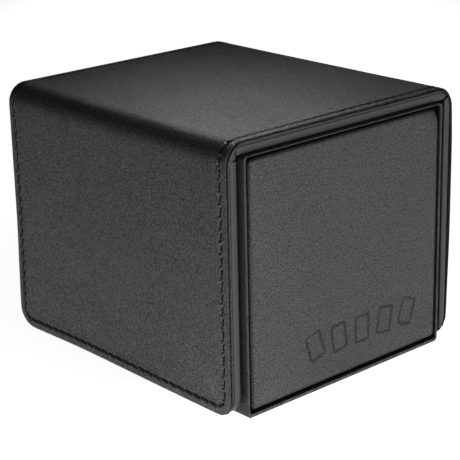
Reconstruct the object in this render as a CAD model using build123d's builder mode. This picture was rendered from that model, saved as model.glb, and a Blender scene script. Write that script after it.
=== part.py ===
"""Card deck box: an open-top tray inside a cover that wraps over it.

The cover is three stiff panels, spine, lid and flap, joined by two leatherette
folds. The spine is glued to the tray, the lid rests on the tray's rim and the
flap hangs down the other side, where magnets hold it.

Frame: origin at the centre of the base, +Z up, -Y the front end,
-X the flap side, +X the spine side. Millimetres.
"""
import os

from build123d import *

os.makedirs("parts", exist_ok=True)

# Outside of the closed cover
WIDTH = 90.1
HEIGHT = 79.0
COVER_LENGTH = 99.8
FLOOR_GAP = 0.9
FOLD_RADIUS = 6.0
CORNER_RADIUS = 6.5

# Layers of a cover panel, from the outside in
SKIN = 0.55
BACKING = 0.4
BOARD = 2.35
LINING = 0.3
COVER = SKIN + BACKING
PANEL = COVER + BOARD + LINING
EDGE_SETBACK = 0.2
MITRE_GAP = 0.3
HINGE_SLACK = 1.25

# Saddle stitch
STITCH_INSET = 3.0
THREAD_WIDTH = 0.5
THREAD_DEPTH = 0.25

# Tray
TRAY_OVERHANG = 1.35
FLAP_GAP = 1.1
SPINE_GAP = 2.8
LID_GAP = 0.25
TRAY_SKIN = 0.4
TRAY_BOARD = 2.2
END_BOARD = 2.0
TRAY_LINER = 0.5
RIM = 0.8
BASE_RIM = 1.05
RECESS = 1.6
TRAY_CORNER = 1.2

# Padded end panels
GROOVE = 0.75
PANEL_SKIN = 0.5
PANEL_CORNER = 1.5

# Magnets, in pockets of the flap and of the tray wall beside it
MAGNET_RADIUS = 5.0
MAGNET_THICK = 1.5
MAGNET_HEIGHT = 20.0
MAGNET_SPACING = 56.0
POCKET_CLEARANCE = 0.1

# Board that joins the spine to the tray, set in from the edges
SPACER_Y = (-36.0, 36.0)
SPACER_Z = (8.0, 66.0)

# Embossed row of card outlines on the front panel
EMBOSS_COUNT = 5
EMBOSS_PITCH = 9.6
EMBOSS_CARD = (6.2, 8.6)
EMBOSS_LINE = 0.8
EMBOSS_DEPTH = 0.2
EMBOSS_TILT = 9.0
EMBOSS_FROM_RIGHT = 32.0
EMBOSS_ABOVE_BASE = 14.0

# Derived places
OUT_X = WIDTH / 2
FOLD_CENTRE_X = OUT_X - FOLD_RADIUS
FOLD_CENTRE_Z = HEIGHT - FOLD_RADIUS
TRAY_LENGTH = COVER_LENGTH + 2 * TRAY_OVERHANG
TRAY_TOP = HEIGHT - PANEL - LID_GAP
TRAY_LEFT = -OUT_X + PANEL + FLAP_GAP
TRAY_RIGHT = OUT_X - PANEL - SPINE_GAP
TRAY_WIDTH = TRAY_RIGHT - TRAY_LEFT
TRAY_MID = (TRAY_RIGHT + TRAY_LEFT) / 2
TRAY_END = TRAY_LENGTH / 2
END_FACE = TRAY_END - RECESS
INNER_END = END_FACE - END_BOARD
FLOOR_TOP = TRAY_SKIN + TRAY_BOARD


def block(x_range, y_range, z_range, mode=Mode.ADD):
    """A box between three pairs of limits."""
    size = [high - low for low, high in (x_range, y_range, z_range)]
    middle = [(high + low) / 2 for low, high in (x_range, y_range, z_range)]
    with Locations(tuple(middle)):
        return Box(*size, mode=mode)


def envelope(inset, corner):
    """Cross-section of everything a given depth inside the cover's outside."""
    RectangleRounded(WIDTH - 2 * inset, 2 * (HEIGHT - inset), corner)


def window(x_range, z_range, mode=Mode.INTERSECT):
    """A rectangle in the cross-section, to keep or to cut."""
    with Locations((sum(x_range) / 2, sum(z_range) / 2)):
        Rectangle(x_range[1] - x_range[0], z_range[1] - z_range[0], mode=mode)


def mitre(side):
    """Cuts the cross-section along the diagonal between spine and lid.

    side +1 keeps what is above the diagonal, the lid; -1 keeps the spine.
    """
    inner = (OUT_X - PANEL, HEIGHT - PANEL)
    shift = side * MITRE_GAP / 2 / 2**0.5
    reach = FOLD_RADIUS + PANEL
    start = (inner[0] - shift - reach, inner[1] + shift - reach)
    end = (inner[0] - shift + reach, inner[1] + shift + reach)
    aside = side * 2 * reach
    Polygon(start, end, (end[0] + aside, end[1] - aside), (start[0] + aside, start[1] - aside),
            align=None, mode=Mode.SUBTRACT)


def round_lower_corners(part, radius):
    """Rounds the two bottom corners of an upright panel."""
    fillet(part.edges().filter_by(Axis.X).group_by(Axis.Z)[0], radius)


# ---------------------------------------------------------------- cover boards
BOARD_LENGTH = COVER_LENGTH - 2 * (EDGE_SETBACK + LINING)
LINING_LENGTH = COVER_LENGTH - 2 * EDGE_SETBACK
BOARD_FOOT = FLOOR_GAP + EDGE_SETBACK + LINING
LINING_FOOT = FLOOR_GAP + EDGE_SETBACK
FLAP_TOP = HEIGHT - PANEL - HINGE_SLACK

FLAP_BOARD_X = (-OUT_X + COVER, -OUT_X + COVER + BOARD)
FLAP_LINING_X = (-OUT_X + COVER, -OUT_X + PANEL)
SPINE_BOARD_X = (OUT_X - COVER - BOARD, OUT_X - COVER)
SPINE_LINING_X = (OUT_X - PANEL, OUT_X - COVER)
LID_BOARD_Z = (HEIGHT - COVER - BOARD, HEIGHT - COVER)
LID_LINING_Z = (HEIGHT - PANEL, HEIGHT - COVER)
FOLD_PLAY = 0.6
FOLD_CLEAR = FOLD_RADIUS - COVER + FOLD_PLAY
CUT_MARGIN = 1.0

with BuildPart() as flap_board:
    with BuildSketch(Plane.XZ):
        envelope(COVER, FOLD_CLEAR)
        window(FLAP_BOARD_X, (BOARD_FOOT, FLAP_TOP - LINING))
    extrude(amount=BOARD_LENGTH / 2, both=True)
    round_lower_corners(flap_board, CORNER_RADIUS - LINING)
    with Locations(*[
        Location((FLAP_BOARD_X[1], y, MAGNET_HEIGHT), (0, 90, 0))
        for y in (-MAGNET_SPACING / 2, MAGNET_SPACING / 2)
    ]):
        Cylinder(MAGNET_RADIUS + POCKET_CLEARANCE, 2 * MAGNET_THICK, mode=Mode.SUBTRACT)

with BuildPart() as flap_lining:
    with BuildSketch(Plane.XZ):
        envelope(COVER, FOLD_CLEAR)
        window(FLAP_LINING_X, (LINING_FOOT, FLAP_TOP))
    extrude(amount=LINING_LENGTH / 2, both=True)
    round_lower_corners(flap_lining, CORNER_RADIUS)
    with BuildSketch(Plane.XZ):
        envelope(COVER - CUT_MARGIN, FOLD_CLEAR)
        window((FLAP_BOARD_X[0] - CUT_MARGIN, FLAP_BOARD_X[1]), (BOARD_FOOT, FLAP_TOP - LINING))
    extrude(amount=BOARD_LENGTH / 2, both=True, mode=Mode.SUBTRACT)

with BuildPart() as lid_board:
    with BuildSketch(Plane.XZ):
        envelope(COVER, FOLD_CLEAR)
        window((-OUT_X + PANEL + LINING, OUT_X - COVER - LINING), LID_BOARD_Z)
        mitre(1)
    extrude(amount=BOARD_LENGTH / 2, both=True)

with BuildPart() as lid_lining:
    with BuildSketch(Plane.XZ):
        envelope(COVER, FOLD_CLEAR)
        window((-OUT_X + PANEL, OUT_X - COVER), LID_LINING_Z)
        mitre(1)
    extrude(amount=LINING_LENGTH / 2, both=True)
    add(lid_board.part, mode=Mode.SUBTRACT)

with BuildPart() as spine_board:
    with BuildSketch(Plane.XZ):
        envelope(COVER, FOLD_CLEAR)
        window(SPINE_BOARD_X, (BOARD_FOOT, HEIGHT - COVER - LINING))
        mitre(-1)
    extrude(amount=BOARD_LENGTH / 2, both=True)
    round_lower_corners(spine_board, CORNER_RADIUS - LINING)

with BuildPart() as spine_lining:
    with BuildSketch(Plane.XZ):
        envelope(COVER, FOLD_CLEAR)
        window(SPINE_LINING_X, (LINING_FOOT, HEIGHT - COVER))
        mitre(-1)
    extrude(amount=LINING_LENGTH / 2, both=True)
    round_lower_corners(spine_lining, CORNER_RADIUS)
    add(spine_board.part, mode=Mode.SUBTRACT)

# ------------------------------------------------- cover leatherette and thread
SEAM = STITCH_INSET + THREAD_WIDTH


def upright_outline(inset, mode=Mode.ADD):
    """Face of the flap or spine, drawn past the fold so that the top stays open."""
    with Locations((0, FOLD_CENTRE_Z)):
        RectangleRounded(COVER_LENGTH - 2 * inset, 2 * (FOLD_CENTRE_Z - FLOOR_GAP - inset),
                         CORNER_RADIUS - inset, mode=mode)


def below_fold():
    """Keeps the part of an upright face that is below the fold."""
    with Locations((0, FOLD_CENTRE_Z / 2)):
        Rectangle(2 * COVER_LENGTH, FOLD_CENTRE_Z, mode=Mode.INTERSECT)


def upright_sheet(x_range):
    """A flat sheet of the flap or spine."""
    with BuildSketch(Plane.YZ.offset(x_range[0])) as outline:
        upright_outline(0)
        below_fold()
    extrude(outline.sketch, amount=x_range[1] - x_range[0])


def upright_seam(x_range, mode=Mode.ADD):
    """The stitch line around the flap's or spine's three free edges."""
    with BuildSketch(Plane.YZ.offset(x_range[0])) as outline:
        upright_outline(STITCH_INSET)
        upright_outline(SEAM, Mode.SUBTRACT)
        below_fold()
    extrude(outline.sketch, amount=x_range[1] - x_range[0], mode=mode)


def lid_seam(mode=Mode.ADD):
    """The stitch lines along the lid's front and rear edges."""
    for low in (-COVER_LENGTH / 2 + STITCH_INSET, COVER_LENGTH / 2 - SEAM):
        block((-FOLD_CENTRE_X, FOLD_CENTRE_X), (low, low + THREAD_WIDTH),
              (HEIGHT - THREAD_DEPTH, HEIGHT), mode)


def fold_strip(side):
    """A quarter bend of leatherette at the top of the flap, -1, or the spine, +1."""
    with BuildSketch(Plane.XZ) as bend:
        with Locations((side * FOLD_CENTRE_X, FOLD_CENTRE_Z)):
            Circle(FOLD_RADIUS)
            Circle(FOLD_RADIUS - COVER, mode=Mode.SUBTRACT)
        far = side * (FOLD_CENTRE_X + FOLD_RADIUS)
        window(sorted((side * FOLD_CENTRE_X, far)), (FOLD_CENTRE_Z, HEIGHT))
    extrude(bend.sketch, amount=COVER_LENGTH / 2, both=True)


FLAP_SKIN_X = (-OUT_X, -OUT_X + SKIN)
FLAP_THREAD_X = (-OUT_X, -OUT_X + THREAD_DEPTH)
SPINE_SKIN_X = (OUT_X - SKIN, OUT_X)
SPINE_THREAD_X = (OUT_X - THREAD_DEPTH, OUT_X)
COVER_Y = (-COVER_LENGTH / 2, COVER_LENGTH / 2)
LID_X = (-FOLD_CENTRE_X, FOLD_CENTRE_X)

with BuildPart() as flap_cover_skin:
    upright_sheet(FLAP_SKIN_X)
    upright_seam(FLAP_THREAD_X, Mode.SUBTRACT)

with BuildPart() as flap_stitching:
    upright_seam(FLAP_THREAD_X)

with BuildPart() as flap_skin_backing:
    upright_sheet((-OUT_X + SKIN, -OUT_X + COVER))

with BuildPart() as spine_cover_skin:
    upright_sheet(SPINE_SKIN_X)
    upright_seam(SPINE_THREAD_X, Mode.SUBTRACT)

with BuildPart() as spine_stitching:
    upright_seam(SPINE_THREAD_X)

with BuildPart() as spine_skin_backing:
    upright_sheet((OUT_X - COVER, OUT_X - SKIN))

with BuildPart() as lid_cover_skin:
    block(LID_X, COVER_Y, (HEIGHT - SKIN, HEIGHT))
    lid_seam(Mode.SUBTRACT)

with BuildPart() as lid_stitching:
    lid_seam()

with BuildPart() as lid_skin_backing:
    block(LID_X, COVER_Y, (HEIGHT - COVER, HEIGHT - SKIN))

with BuildPart() as flap_fold:
    fold_strip(-1)

with BuildPart() as lid_fold:
    fold_strip(1)

# ------------------------------------------------------------------------ tray
BOARD_LEFT = TRAY_LEFT + TRAY_SKIN
BOARD_RIGHT = TRAY_RIGHT - TRAY_SKIN
BOARD_TOP = TRAY_TOP - TRAY_SKIN
LINER_LEFT = BOARD_LEFT + TRAY_BOARD
LINER_RIGHT = BOARD_RIGHT - TRAY_BOARD
FLOOR_LINER_TOP = FLOOR_TOP + TRAY_LINER
LINER_END = INNER_END - TRAY_LINER
BASE_X = (TRAY_LEFT + TRAY_CORNER, TRAY_RIGHT - TRAY_CORNER)


def tray_section(inset):
    """Cross-section of the tray, a given depth inside its outside."""
    with Locations((TRAY_MID, TRAY_TOP / 2)):
        RectangleRounded(TRAY_WIDTH - 2 * inset, TRAY_TOP - 2 * inset, TRAY_CORNER - inset)


with BuildPart() as tray_floor_board:
    with BuildSketch(Plane.XZ):
        tray_section(TRAY_SKIN)
        window((TRAY_LEFT, TRAY_RIGHT), (0, FLOOR_TOP))
    extrude(amount=END_FACE, both=True)

with BuildPart() as tray_flap_side_board:
    with BuildSketch(Plane.XZ):
        tray_section(TRAY_SKIN)
        window((BOARD_LEFT, LINER_LEFT), (FLOOR_TOP, TRAY_TOP))
    extrude(amount=INNER_END, both=True)
    with Locations(*[
        Location((BOARD_LEFT, y, MAGNET_HEIGHT), (0, 90, 0))
        for y in (-MAGNET_SPACING / 2, MAGNET_SPACING / 2)
    ]):
        Cylinder(MAGNET_RADIUS + POCKET_CLEARANCE, 2 * MAGNET_THICK, mode=Mode.SUBTRACT)

with BuildPart() as tray_spine_side_board:
    with BuildSketch(Plane.XZ):
        tray_section(TRAY_SKIN)
        window((LINER_RIGHT, BOARD_RIGHT), (FLOOR_TOP, TRAY_TOP))
    extrude(amount=INNER_END, both=True)

with BuildPart() as tray_wall_skin:
    with BuildSketch(Plane.XZ):
        tray_section(0)
    extrude(amount=TRAY_END, both=True)
    with BuildSketch(Plane.XZ):
        tray_section(TRAY_SKIN)
    extrude(amount=END_FACE, both=True, mode=Mode.SUBTRACT)
    for low in (-TRAY_END, END_FACE):
        block((TRAY_LEFT + RIM, TRAY_RIGHT - RIM), (low, low + RECESS),
              (BASE_RIM, BOARD_TOP), Mode.SUBTRACT)
    block((LINER_LEFT + TRAY_LINER, LINER_RIGHT - TRAY_LINER), (-LINER_END, LINER_END),
          (FLOOR_TOP, TRAY_TOP), Mode.SUBTRACT)
    block(BASE_X, (-END_FACE, END_FACE), (0, TRAY_SKIN), Mode.SUBTRACT)

with BuildPart() as tray_base_skin:
    block(BASE_X, (-END_FACE, END_FACE), (0, TRAY_SKIN))

with BuildPart() as tray_floor_liner:
    block((LINER_LEFT, LINER_RIGHT), (-INNER_END, INNER_END), (FLOOR_TOP, FLOOR_LINER_TOP))

with BuildPart() as tray_flap_side_liner:
    block((LINER_LEFT, LINER_LEFT + TRAY_LINER), (-LINER_END, LINER_END),
          (FLOOR_LINER_TOP, BOARD_TOP))

with BuildPart() as tray_spine_side_liner:
    block((LINER_RIGHT - TRAY_LINER, LINER_RIGHT), (-LINER_END, LINER_END),
          (FLOOR_LINER_TOP, BOARD_TOP))

with BuildPart() as spine_spacer_board:
    block((TRAY_RIGHT, OUT_X - PANEL), SPACER_Y, SPACER_Z)

# --------------------------------------------------------------------- magnets
with BuildPart() as flap_magnets:
    with Locations(*[
        Location((FLAP_BOARD_X[1] - MAGNET_THICK / 2, y, MAGNET_HEIGHT), (0, 90, 0))
        for y in (-MAGNET_SPACING / 2, MAGNET_SPACING / 2)
    ]):
        Cylinder(MAGNET_RADIUS, MAGNET_THICK)

with BuildPart() as tray_magnets:
    with Locations(*[
        Location((BOARD_LEFT + MAGNET_THICK / 2, y, MAGNET_HEIGHT), (0, 90, 0))
        for y in (-MAGNET_SPACING / 2, MAGNET_SPACING / 2)
    ]):
        Cylinder(MAGNET_RADIUS, MAGNET_THICK)

# ------------------------------------------------- tray ends, front and rear
PANEL_X = (TRAY_LEFT + RIM + GROOVE, TRAY_RIGHT - RIM - GROOVE)
PANEL_Z = (BASE_RIM + GROOVE, BOARD_TOP - GROOVE)
ends = []


def end_panel_outline(inset):
    """Face of an end panel, a given distance inside its edges."""
    with Locations((sum(PANEL_X) / 2, sum(PANEL_Z) / 2)):
        RectangleRounded(PANEL_X[1] - PANEL_X[0] - 2 * inset,
                         PANEL_Z[1] - PANEL_Z[0] - 2 * inset, PANEL_CORNER - inset)


for end, side in (("front", -1), ("rear", 1)):
    outward = Plane.XZ.offset(END_FACE) if side < 0 else Plane.XZ.offset(-END_FACE)

    with BuildPart() as end_board:
        with BuildSketch(Plane.XZ.offset(-side * END_FACE)):
            tray_section(TRAY_SKIN)
            window((TRAY_LEFT, TRAY_RIGHT), (FLOOR_TOP, TRAY_TOP))
        extrude(amount=side * END_BOARD)
    end_board.part.label = f"tray_{end}_end_board"

    with BuildPart() as end_liner:
        block((LINER_LEFT, LINER_RIGHT), sorted((side * INNER_END, side * LINER_END)),
              (FLOOR_LINER_TOP, BOARD_TOP))
    end_liner.part.label = f"tray_{end}_end_liner"

    with BuildPart() as panel_board:
        with BuildSketch(outward):
            end_panel_outline(PANEL_SKIN)
        extrude(amount=-side * (RECESS - PANEL_SKIN))
    panel_board.part.label = f"{end}_panel_board"

    with BuildPart() as panel_skin:
        with BuildSketch(outward):
            end_panel_outline(0)
        extrude(amount=-side * RECESS)
        add(panel_board.part, mode=Mode.SUBTRACT)
        if side < 0:
            for place in range(EMBOSS_COUNT):
                step = place - (EMBOSS_COUNT - 1) / 2
                spot = (PANEL_X[1] - EMBOSS_FROM_RIGHT + step * EMBOSS_PITCH, EMBOSS_ABOVE_BASE)
                with BuildSketch(Plane.XZ.offset(TRAY_END - EMBOSS_DEPTH)):
                    with Locations(Location(spot, step * -EMBOSS_TILT)):
                        RectangleRounded(*EMBOSS_CARD, EMBOSS_LINE)
                        Rectangle(EMBOSS_CARD[0] - 2 * EMBOSS_LINE,
                                  EMBOSS_CARD[1] - 2 * EMBOSS_LINE, mode=Mode.SUBTRACT)
                extrude(amount=EMBOSS_DEPTH, mode=Mode.SUBTRACT)
    panel_skin.part.label = f"{end}_panel_skin"
    ends += [end_board, end_liner, panel_board, panel_skin]

# ---------------------------------------------------------------------- output
flap_board.part.label = "flap_board"
flap_lining.part.label = "flap_lining"
flap_cover_skin.part.label = "flap_cover_skin"
flap_skin_backing.part.label = "flap_skin_backing"
flap_stitching.part.label = "flap_stitching"
flap_magnets.part.label = "flap_magnets"
flap_fold.part.label = "flap_fold"
lid_board.part.label = "lid_board"
lid_lining.part.label = "lid_lining"
lid_cover_skin.part.label = "lid_cover_skin"
lid_skin_backing.part.label = "lid_skin_backing"
lid_stitching.part.label = "lid_stitching"
lid_fold.part.label = "lid_fold"
spine_board.part.label = "spine_board"
spine_lining.part.label = "spine_lining"
spine_cover_skin.part.label = "spine_cover_skin"
spine_skin_backing.part.label = "spine_skin_backing"
spine_stitching.part.label = "spine_stitching"
spine_spacer_board.part.label = "spine_spacer_board"
tray_floor_board.part.label = "tray_floor_board"
tray_flap_side_board.part.label = "tray_flap_side_board"
tray_spine_side_board.part.label = "tray_spine_side_board"
tray_wall_skin.part.label = "tray_wall_skin"
tray_base_skin.part.label = "tray_base_skin"
tray_floor_liner.part.label = "tray_floor_liner"
tray_flap_side_liner.part.label = "tray_flap_side_liner"
tray_spine_side_liner.part.label = "tray_spine_side_liner"
tray_magnets.part.label = "tray_magnets"

for piece in [
    flap_board, flap_lining, flap_cover_skin, flap_skin_backing, flap_stitching,
    flap_magnets, flap_fold, lid_board, lid_lining, lid_cover_skin, lid_skin_backing,
    lid_stitching, lid_fold, spine_board, spine_lining, spine_cover_skin,
    spine_skin_backing, spine_stitching, spine_spacer_board, tray_floor_board,
    tray_flap_side_board, tray_spine_side_board, tray_wall_skin, tray_base_skin,
    tray_floor_liner, tray_flap_side_liner, tray_spine_side_liner, tray_magnets, *ends,
]:
    export_step(piece.part, f"parts/{piece.part.label}.step")
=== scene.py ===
"""Looks of a leatherette card deck box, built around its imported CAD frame.

Lengths are millimetres in the frame's own axes: +Z up, -Y the front end, -X the flap.
add_piece() turns them into metres. Every grained piece carries a "flat" attribute, its
place on the unrolled leatherette, so that the grain runs on over a fold and bends with it.
"""
import math

import bmesh
import bpy
import numpy as np
from mathutils import Matrix, Vector, noise


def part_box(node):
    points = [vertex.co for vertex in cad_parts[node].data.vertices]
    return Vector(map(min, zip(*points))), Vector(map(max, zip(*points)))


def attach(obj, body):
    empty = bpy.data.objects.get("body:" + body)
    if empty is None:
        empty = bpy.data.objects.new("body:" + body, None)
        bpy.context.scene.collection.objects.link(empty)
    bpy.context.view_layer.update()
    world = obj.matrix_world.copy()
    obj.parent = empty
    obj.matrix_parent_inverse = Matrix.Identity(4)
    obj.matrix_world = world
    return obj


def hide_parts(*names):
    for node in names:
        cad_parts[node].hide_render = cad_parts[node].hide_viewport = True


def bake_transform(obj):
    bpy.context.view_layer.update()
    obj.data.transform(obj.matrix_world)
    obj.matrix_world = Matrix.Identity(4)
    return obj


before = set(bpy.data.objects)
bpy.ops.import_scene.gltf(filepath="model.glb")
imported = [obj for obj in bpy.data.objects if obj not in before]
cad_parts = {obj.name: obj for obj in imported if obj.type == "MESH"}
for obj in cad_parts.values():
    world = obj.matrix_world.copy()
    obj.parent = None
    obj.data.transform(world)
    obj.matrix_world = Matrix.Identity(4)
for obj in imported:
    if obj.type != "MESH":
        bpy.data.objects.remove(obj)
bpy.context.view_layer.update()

MM = 0.001


def span(node, axis):
    """(low, high) of a CAD node along an axis, in millimetres."""
    low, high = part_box(node)
    return low["xyz".index(axis)] / MM, high["xyz".index(axis)] / MM


# ------------------------------------------------------------- places, from the frame
COVER_OUT = -span("flap_cover_skin", "x")[0]
COVER_TOP = span("lid_cover_skin", "z")[1]
COVER_FOOT = span("flap_cover_skin", "z")[0]
COVER_HALF = span("lid_cover_skin", "y")[1]
FOLD_X = span("lid_cover_skin", "x")[1]
FOLD_Z = span("flap_cover_skin", "z")[1]
FOLD_R = COVER_TOP - FOLD_Z
SKIN = COVER_TOP - span("lid_cover_skin", "z")[0]
BACKING = span("lid_skin_backing", "z")[1] - span("lid_skin_backing", "z")[0]
COVER = SKIN + BACKING
LINING_HALF = span("lid_lining", "y")[1]
LINING_FOOT = span("flap_lining", "z")[0]
LINING_FACE = span("flap_lining", "x")[1]
LINING_WALL = span("flap_lining", "x")[1] - span("flap_board", "x")[1]
LID_UNDER = span("lid_lining", "z")[0]
FLAP_HEAD = span("flap_lining", "z")[1]
TRAY_X = span("tray_wall_skin", "x")
TRAY_END = span("tray_wall_skin", "y")[1]
TRAY_TOP = span("tray_wall_skin", "z")[1]
END_FACE = span("tray_front_end_board", "y")[0] * -1
WELL_X = (span("tray_flap_side_liner", "x")[1], span("tray_spine_side_liner", "x")[0])
WELL_END = span("tray_rear_end_liner", "y")[0]
WELL_FLOOR = span("tray_floor_liner", "z")[1]
PANEL_X = span("front_panel_skin", "x")
PANEL_Z = span("front_panel_skin", "z")

# ------------------------------------------------------------------ sizes of the looks
CORNER_R = {-1: 6.5, 1: 3.9}
FOOT_R = 7.0
FOOT_TURN = math.radians(82)
FOOT_SAG = 0.8
STITCH_INSET = 3.25
STITCH_PITCH = 3.5
STITCH_LENGTH = 2.55
STITCH_SLANT = 0.16
SKIN_STEP = 0.7
STITCH_INSETS = (1.35, 1.8, 2.25, 2.55, 2.8, 2.98, 3.12, 3.25, 3.38, 3.52, 3.7, 3.95, 4.3, 4.7, 5.2)
STITCH_ROWS = len(STITCH_INSETS)
THREAD_R = 0.23
GRID_INSET = 7.2
LID_CROWN = 0.5
FOLD_PUFF = 0.2
SPINE_SWELL = 0.75
FOOT_FLARE = 0.7
FOLD_CREASES = (
    ((62.0, -44.9), (73.0, -44.2), 0.5, 0.09),
    ((66.0, -43.2), (76.0, -42.0), 0.5, 0.07),
    ((66.0, 44.5), (78.0, 43.2), 0.6, 0.14),
)
CREASE_PUFF = 1.3
LINER = 0.5
MITRE_GAP = 0.7
MITRE_REACH = 1.0
LID_LINING_END = -LINING_FACE - MITRE_GAP / 2
SPINE_LINING_FOOT = 2.3
RIM = 0.8
BASE_RIM = 1.05
TOP_RIM = 0.4
TRAY_CORNER = 1.2
PANEL_CORNER = 1.5
PANEL_ROUND = 1.1
# PANEL_SHADE and CARD_SHADE set the painted shade along the end panels' edges and in the embossed card lines.
PANEL_SHADE = 1.6
PANEL_REACH = 0.45
PANEL_PULLS = ((0, 0.6), (1, 0.8))
CARD_SIZE = (6.2, 8.6)
CARD_LINE = 0.8
CARD_DEPTH = 0.3
CARD_SHADE = 0.4
CARD_PITCH = 9.6
CARD_TILT = 9.0
CARD_MIDDLE = PANEL_X[1] - 32.0
CARD_HEIGHT = 14.0

CAMERA_AIM = (-1.401, -1.684, 33.778)
CAMERA_DISTANCE = 471.548
CAMERA_YAW = 41.75
CAMERA_PITCH = 18.877
CAMERA_ROLL = -1.257
CAMERA_LENS = 120.244
WORLD_LIGHT = 0.05
FLOOR_GLOW = 0.93
CORNER_GLOW = 2.4
CORNER_GLOW_AT = (-0.13, -0.12)
FAR_GLOW = 0.4
GLOW_MIDDLE = (0.16, 0.18)
GLOW_REACH = (1.1, 0.31)
LIGHTS = (
    ("front", (0.3, -1.25, 0.3), (0, 0, 0.04), (0.7, 0.4), 10.0),
)
SPOTS = (
    ("lid_glow", (0.594, 0.663, 0.949), (-0.052, -0.058, 0.079), 5.6, 51.0, 0.06),
)

LEG = FOLD_Z - COVER_FOOT
BEND = FOLD_R * math.pi / 2
HALF_PATH = LEG + BEND + FOLD_X
FOOT_ARC = LEG - (FOLD_Z - FOOT_R)
EDGE_SIDE = {half: HALF_PATH - r for half, r in CORNER_R.items()}
EDGE_TURN = {half: (r - STITCH_INSET) * math.pi / 2 for half, r in CORNER_R.items()}
EDGE_LENGTH = {half: 2 * (EDGE_SIDE[half] + EDGE_TURN[half] + COVER_HALF - r) for half, r in CORNER_R.items()}
STITCH_STEP = EDGE_LENGTH[-1] / round(EDGE_LENGTH[-1] / STITCH_PITCH)

COVER_STANDS_FOR = {
    ("flap_side", "cover_skin"): ("flap_cover_skin", "lid_cover_skin", "flap_fold"),
    ("flap_side", "cover_backing"): ("flap_skin_backing", "lid_skin_backing"),
    ("flap_side", "cover_stitching"): ("flap_stitching", "lid_stitching"),
    ("spine_side", "cover_skin"): ("spine_cover_skin", "lid_fold"),
    ("spine_side", "cover_backing"): ("spine_skin_backing",),
    ("spine_side", "cover_stitching"): ("spine_stitching",),
}
TUB_STANDS_FOR = (
    "tray_floor_liner", "tray_flap_side_liner", "tray_spine_side_liner",
    "tray_front_end_liner", "tray_rear_end_liner",
)


# ------------------------------------------------------------------------ mesh making
class Shape:
    """Points and faces of one piece.

    flat is each point's place in the grain and press its embossing; a third value for each point is how much
    painted shade, black and matt, darkens it in gaps and grooves.
    """

    def __init__(self):
        self.points, self.flat, self.press, self.raw, self.faces = [], [], [], [], []

    def add(self, points, flat=None, press=None, raw=0.0):
        """Adds points and returns their numbers."""
        start = len(self.points)
        self.points += [tuple(p) for p in points]
        self.flat += [tuple(p) for p in (points if flat is None else flat)]
        self.press += [0.0] * len(points) if press is None else [float(p) for p in press]
        self.raw += [float(r) for r in np.broadcast_to(raw, len(points))]
        return list(range(start, len(self.points)))

    def bridge(self, first, second, closed=True):
        """Joins two equally long rows of points with quads."""
        count = len(first)
        for i in range(count if closed else count - 1):
            j = (i + 1) % count
            self.faces.append((first[i], first[j], second[j], second[i]))

    def cap(self, ring):
        self.faces.append(tuple(ring))

    def zip(self, dense, dense_marks, coarse, coarse_marks):
        """Joins two rows of different counts with triangles. The marks are places along them."""
        i = j = 0
        while i < len(dense) - 1 or j < len(coarse) - 1:
            last_dense, last_coarse = i == len(dense) - 1, j == len(coarse) - 1
            if last_coarse or (not last_dense and dense_marks[i + 1] <= coarse_marks[j + 1]):
                self.faces.append((dense[i], dense[i + 1], coarse[j]))
                i += 1
            else:
                self.faces.append((dense[i], coarse[j + 1], coarse[j]))
                j += 1


def add_piece(shape, name, material, smooth_angle=40):
    """Makes a Blender object of a shape, with outward faces and smooth shading."""
    mesh = bpy.data.meshes.new(name)
    mesh.from_pydata([[c * MM for c in p] for p in shape.points], [], shape.faces)
    layers = (("flat", "FLOAT_VECTOR", shape.flat), ("press", "FLOAT", shape.press), ("raw", "FLOAT", shape.raw))
    for key, kind, values in layers:
        attribute = mesh.attributes.new(key, kind, "POINT")
        field = "vector" if kind == "FLOAT_VECTOR" else "value"
        attribute.data.foreach_set(field, np.array(values, np.float32).ravel())
    work = bmesh.new()
    work.from_mesh(mesh)
    bmesh.ops.recalc_face_normals(work, faces=work.faces)
    work.to_mesh(mesh)
    work.free()
    mesh.polygons.foreach_set("use_smooth", [True] * len(mesh.polygons))
    mesh.set_sharp_from_angle(angle=math.radians(smooth_angle))
    piece = bpy.data.objects.new(name, mesh)
    bpy.context.scene.collection.objects.link(piece)
    mesh.materials.append(material)
    return piece


def ramp(value, low, high):
    """0 below low, 1 above high, smooth between."""
    t = min(1.0, max(0.0, (value - low) / (high - low)))
    return t * t * (3 - 2 * t)


def hump(value, centre, width):
    return math.exp(-(((value - centre) / width) ** 2))


def wave(*place):
    """Soft noise from -1 to 1 at a place."""
    return noise.noise(Vector((*place, 0.0, 0.0)[:3]))


def edge_drop(inset, radius):
    """How far a rounded edge has fallen at this distance inside it."""
    return 0.0 if inset >= radius else radius - math.sqrt(radius**2 - (radius - inset) ** 2)


def outline(low, high, radii, counts, arc_steps):
    """A rounded rectangle as (a, b) points, anticlockwise from its lower left arc's end.

    radii go lower left, lower right, upper right, upper left; counts are the steps along
    the a and the b sides.
    """
    (a0, b0), (a1, b1) = low, high
    r = radii
    corners = [((a0 + r[0], b0 + r[0]), 180), ((a1 - r[1], b0 + r[1]), 270),
               ((a1 - r[2], b1 - r[2]), 0), ((a0 + r[3], b1 - r[3]), 90)]
    points = []
    for side in range(4):
        (ca, cb), angle = corners[side]
        for step in range(arc_steps):
            turn = math.radians(angle + 90 * step / arc_steps)
            points.append((ca + r[side] * math.cos(turn), cb + r[side] * math.sin(turn)))
        (na, nb), _ = corners[(side + 1) % 4]
        turn = math.radians(angle + 90)
        start = (ca + r[side] * math.cos(turn), cb + r[side] * math.sin(turn))
        follow = r[(side + 1) % 4]
        end = (na + follow * math.cos(turn), nb + follow * math.sin(turn))
        steps = counts[side % 2]
        for step in range(steps):
            t = step / steps
            points.append((start[0] + t * (end[0] - start[0]), start[1] + t * (end[1] - start[1])))
    return points


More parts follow.
